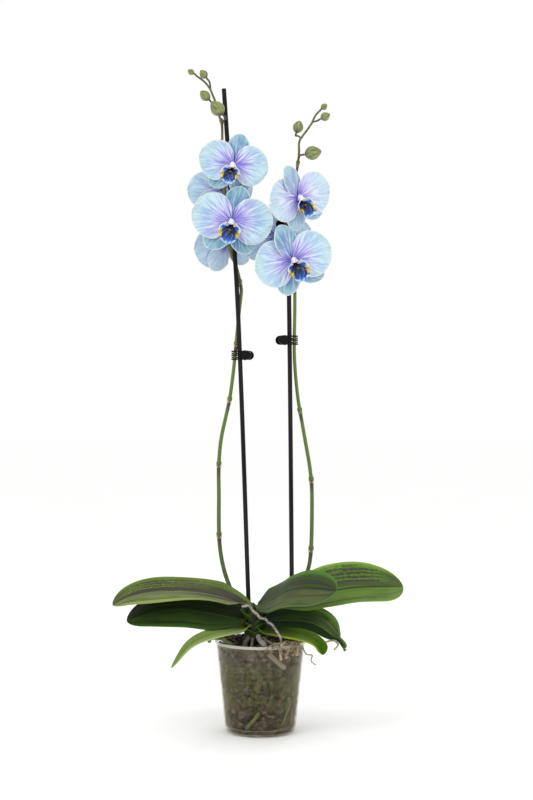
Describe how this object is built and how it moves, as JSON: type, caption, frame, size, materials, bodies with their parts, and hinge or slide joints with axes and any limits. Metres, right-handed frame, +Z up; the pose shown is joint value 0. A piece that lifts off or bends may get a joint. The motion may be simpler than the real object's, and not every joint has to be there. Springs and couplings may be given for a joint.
{
  "type": "potted moth orchid",
  "caption": "Moth orchid in a clear pot of bark, with broad arching leaves and two staked flower spikes of blue blooms and green buds, held by hinged claw clips.",
  "frame": {"origin": "centre of the pot's underside", "axes": "+Z up along the pot's axis, front of the plant towards -Y, +X to the right as the front is seen"},
  "size_m": [0.3854, 0.1447, 0.8743],
  "materials": {
    "pot": "clear plastic, hazed and stained inside",
    "bark": "rough damp bark chips with green algae",
    "stem": "satin olive green, purple brown at the nodes",
    "leaf": "satin dark green with purple brown mottling",
    "young_leaf": "satin fresh green",
    "root": "matt silvery grey and beige",
    "stake": "black, slightly worn",
    "petal": "soft petal, violet centre to pale blue rim",
    "lip": "waxy navy and purple with yellow and pale blue edges",
    "bud": "waxy green with a purple tinge",
    "clip": "glossy black",
    "spring": "plain steel"
  },
  "bodies": {
    "root": {"pot": "pot", "bark_filling": "bark", "stem_base": "stem", "leaf_upper_left": "leaf", "leaf_lower_left": "leaf", "leaf_small_left": "young_leaf", "leaf_front_right": "leaf", "leaf_rear_right": "leaf", "leaf_middle_right": "leaf", "leaf_small_right": "young_leaf", "root_long_front": "root", "root_stilt_front": "root", "root_stilt_left": "root", "root_stilt_middle": "root", "root_stilt_rear": "root", "root_left_rim": "root", "roots_right_rim": "root", "spike_left": "stem", "spike_right": "stem", "stake_left": "stake", "stake_right": "stake", "bloom_left_1": "petal", "bloom_left_2": "petal", "bloom_left_3": "petal", "bloom_left_4": "petal", "bloom_right_1": "petal", "bloom_right_2": "petal", "bloom_right_3": "petal", "lip_left_1": "lip", "lip_left_2": "lip", "lip_left_3": "lip", "lip_left_4": "lip", "lip_right_1": "lip", "lip_right_2": "lip", "lip_right_3": "lip", "bud_left_1": "bud", "bud_left_2": "bud", "bud_left_3": "bud", "bud_left_4": "bud", "bud_left_5": "bud", "bud_right_1": "bud", "bud_right_2": "bud", "bud_right_3": "bud", "bud_right_4": "bud", "clip_left_rear_jaw": "clip", "clip_left_spring": "spring", "clip_right_rear_jaw": "clip", "clip_right_spring": "spring", "clip_top_rear_jaw": "clip", "clip_top_spring": "spring"},
    "clip_left_jaw": {"clip_left_front_jaw": "clip"},
    "clip_right_jaw": {"clip_right_front_jaw": "clip"},
    "clip_top_jaw": {"clip_top_front_jaw": "clip"}
  },
  "joints": [
    {"name": "clip_left_hinge", "type": "hinge", "parent": "root", "child": "clip_left_jaw", "pos_m": [-0.02105, 0.01674, 0.496], "axis": [0, 0, 1], "range_deg": [0, 20], "stiffness_Nm_per_rad": 0.002, "springref_deg": -11.46},
    {"name": "clip_right_hinge", "type": "hinge", "parent": "root", "child": "clip_right_jaw", "pos_m": [0.03233, 0.01301, 0.516], "axis": [0, 0, -1], "range_deg": [0, 20], "stiffness_Nm_per_rad": 0.002, "springref_deg": -11.46},
    {"name": "clip_top_hinge", "type": "hinge", "parent": "root", "child": "clip_top_jaw", "pos_m": [0.03278, 0.00471, 0.6685], "axis": [0, 0, -1], "range_deg": [0, 20], "stiffness_Nm_per_rad": 0.002, "springref_deg": -11.46}
  ]
}
